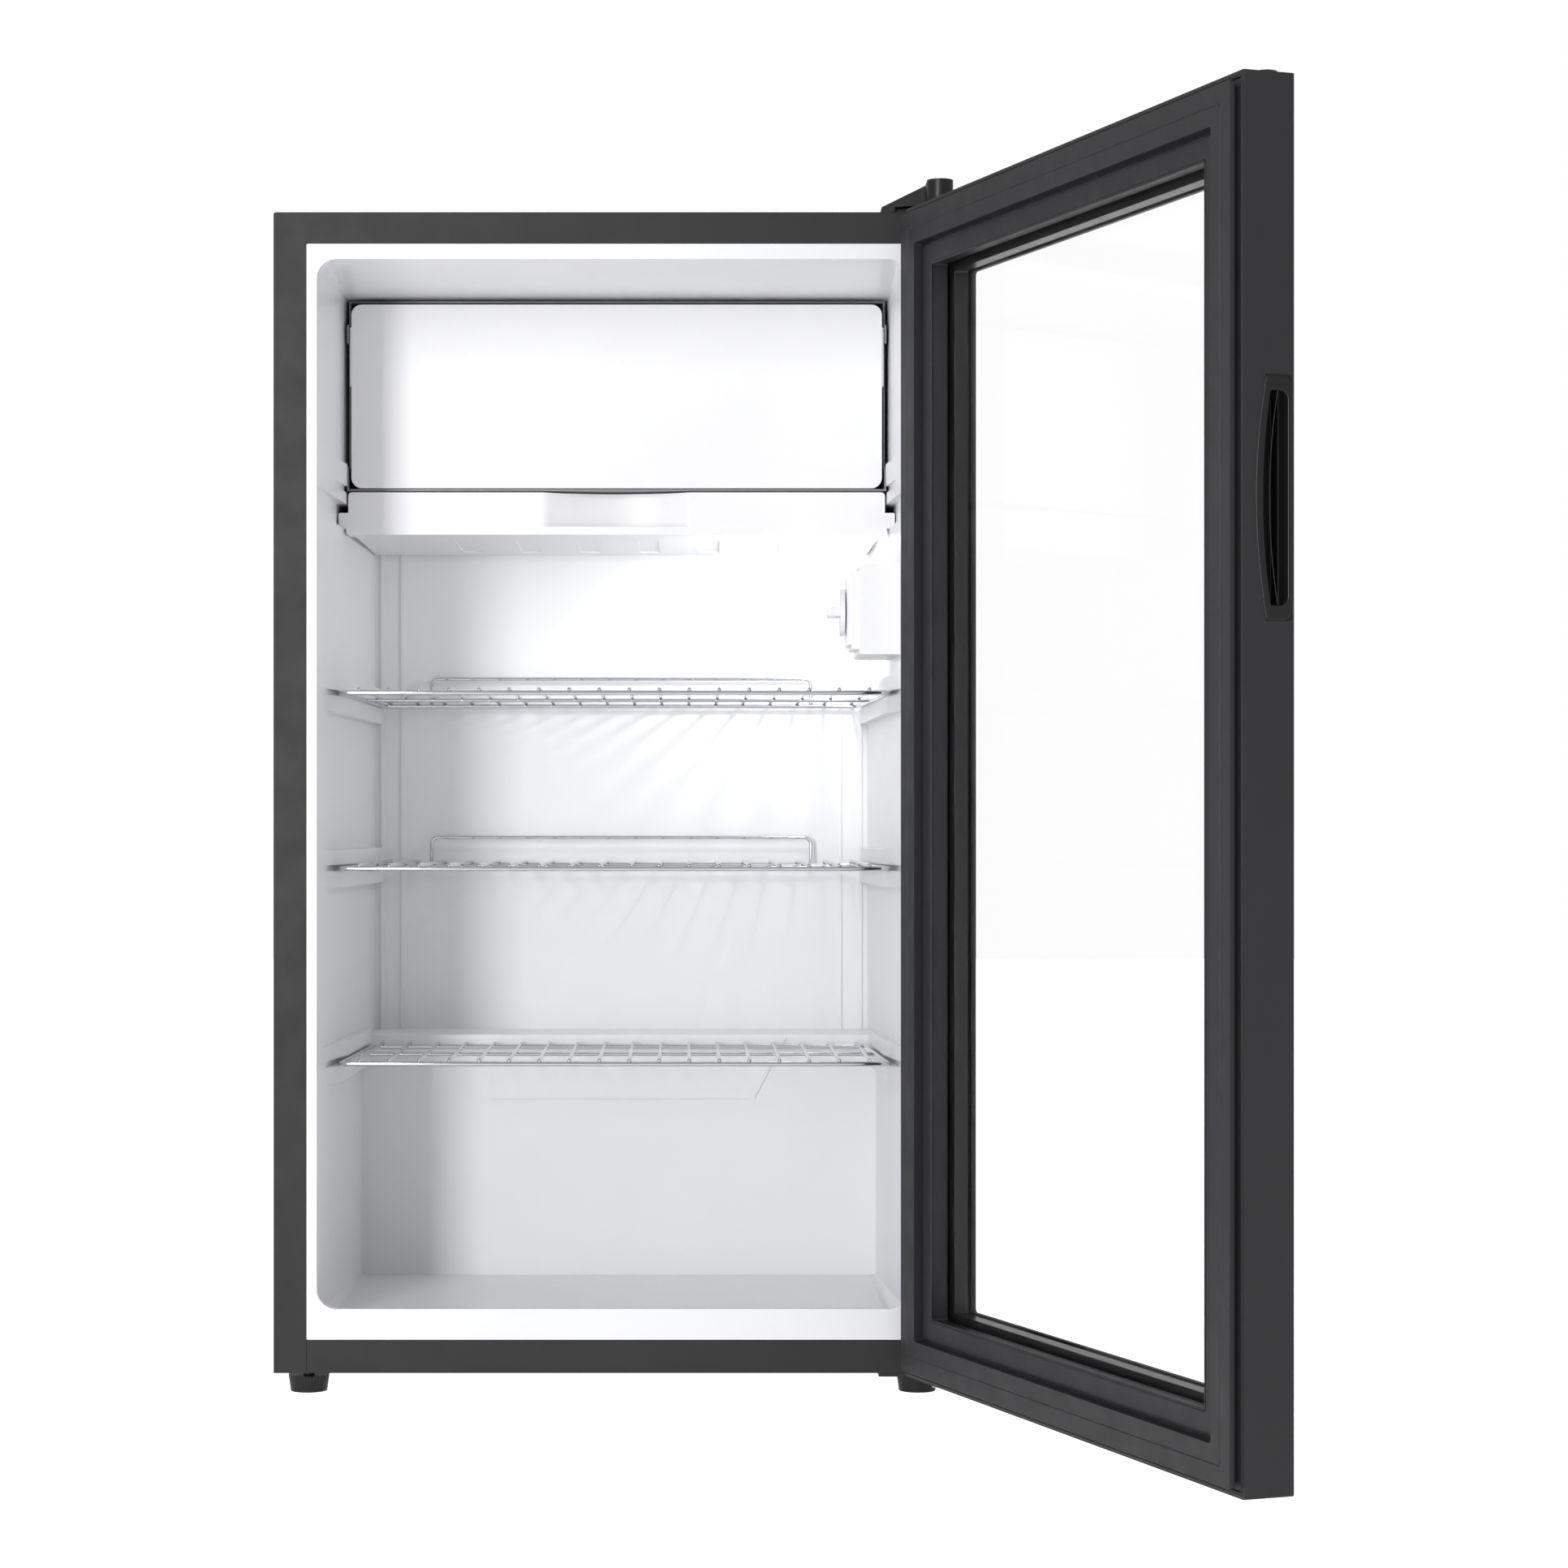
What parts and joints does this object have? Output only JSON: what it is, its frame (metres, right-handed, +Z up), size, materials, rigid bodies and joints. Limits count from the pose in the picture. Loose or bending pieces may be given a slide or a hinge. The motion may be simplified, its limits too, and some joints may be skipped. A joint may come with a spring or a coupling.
{
  "type": "mini fridge",
  "caption": "Compact upright beverage fridge with a framed glass door open on right-hand hinges, white cabin with wire shelves, and a freezer box over a drip tray.",
  "frame": {"origin": "centre of the cabinet's footprint on the floor plane", "axes": "+Z up; -Y is the front with the door, which is stored open; +X is the hinge side"},
  "size_m": [0.6406, 0.8823, 0.854],
  "materials": {
    "cabinet_paint": "matte",
    "hinge_paint": "satin",
    "galvanised_steel": "satin",
    "foam": "matte",
    "liner_plastic": "satin",
    "copper": "satin",
    "cold_plate": "satin",
    "white_plastic": "satin",
    "lamp_lens_plastic": "satin",
    "shelf_chrome": "polished",
    "compressor_paint": "satin",
    "rubber": "matte",
    "black_plastic": "satin",
    "door_plastic": "satin",
    "screw_steel": "satin",
    "clear_glass": "polished",
    "spacer_metal": "matte",
    "circuit_board": "matte"
  },
  "bodies": {
    "cabinet": {"outer_wrap": "cabinet_paint", "bottom_rail": "cabinet_paint", "back_panel": "cabinet_paint", "base_pan": "galvanised_steel", "machine_bay_wall": "galvanised_steel", "foam_insulation": "foam", "inner_liner": "liner_plastic", "condenser_coil": "copper", "evaporator_box": "cold_plate", "evaporator_screws": "screw_steel", "control_housing": "white_plastic", "control_screws": "screw_steel", "thermostat_body": "galvanised_steel", "lamp_lens": "lamp_lens_plastic", "lamp_board": "circuit_board", "compressor": "compressor_paint", "compressor_grommets": "rubber", "compressor_bolts": "screw_steel", "compressor_relay_cover": "black_plastic", "filter_drier": "copper", "refrigerant_tubes": "copper", "cord_grommet": "rubber", "back_panel_screws": "screw_steel", "top_hinge_bracket": "hinge_paint", "top_hinge_screws": "screw_steel", "top_hinge_pin": "screw_steel", "top_hinge_cover": "black_plastic", "bottom_hinge_bracket": "hinge_paint", "bottom_hinge_screws": "screw_steel", "bottom_hinge_pin": "screw_steel", "hinge_hole_cap": "black_plastic", "rear_feet": "rubber"},
    "door": {"door_frame": "door_plastic", "door_inner_frame": "door_plastic", "outer_glass": "clear_glass", "inner_glass": "clear_glass", "glass_spacer": "spacer_metal", "door_seal": "rubber", "handle_insert": "black_plastic", "door_top_bush": "white_plastic", "door_bottom_bush": "white_plastic", "door_plug_cap": "black_plastic"},
    "freezer_door": {"freezer_flap": "white_plastic"},
    "tray": {"drip_tray": "white_plastic"},
    "shelf_upper": {"upper_shelf": "shelf_chrome"},
    "shelf_middle": {"middle_shelf": "shelf_chrome"},
    "shelf_lower": {"lower_shelf": "shelf_chrome"},
    "knob": {"thermostat_knob": "white_plastic"},
    "foot_left": {"front_foot_left": "black_plastic"},
    "foot_right": {"front_foot_right": "black_plastic"}
  },
  "joints": [
    {"name": "door_hinge", "type": "hinge", "parent": "cabinet", "child": "door", "pos_m": [0.2297, -0.2312, 0], "axis": [0, 0, 1], "range_deg": [-110.1, 20]},
    {"name": "freezer_door_hinge", "type": "hinge", "parent": "cabinet", "child": "freezer_door", "pos_m": [0, -0.0455, 0.7724], "axis": [-1, 0, 0], "range_deg": [0, 85]},
    {"name": "drip_tray_slide", "type": "slide", "parent": "cabinet", "child": "tray", "axis": [0, -1, 0], "range_m": [0, 0.14]},
    {"name": "upper_shelf_slide", "type": "slide", "parent": "cabinet", "child": "shelf_upper", "axis": [0, -1, 0], "range_m": [0, 0.2]},
    {"name": "middle_shelf_slide", "type": "slide", "parent": "cabinet", "child": "shelf_middle", "axis": [0, -1, 0], "range_m": [0, 0.2]},
    {"name": "lower_shelf_slide", "type": "slide", "parent": "cabinet", "child": "shelf_lower", "axis": [0, -1, 0], "range_m": [0, 0.14]},
    {"name": "thermostat_turn", "type": "hinge", "parent": "cabinet", "child": "knob", "pos_m": [0.178, -0.1105, 0.55918], "axis": [-1, 0, 0], "range_deg": [0, 270]},
    {"name": "left_foot_turn", "type": "hinge", "parent": "cabinet", "child": "foot_left", "pos_m": [-0.217, -0.1825, 0], "axis": [0, 0, 1], "range_deg": [-360, 360]},
    {"name": "right_foot_turn", "type": "hinge", "parent": "cabinet", "child": "foot_right", "pos_m": [0.217, -0.1825, 0], "axis": [0, 0, 1], "range_deg": [-360, 360]}
  ]
}
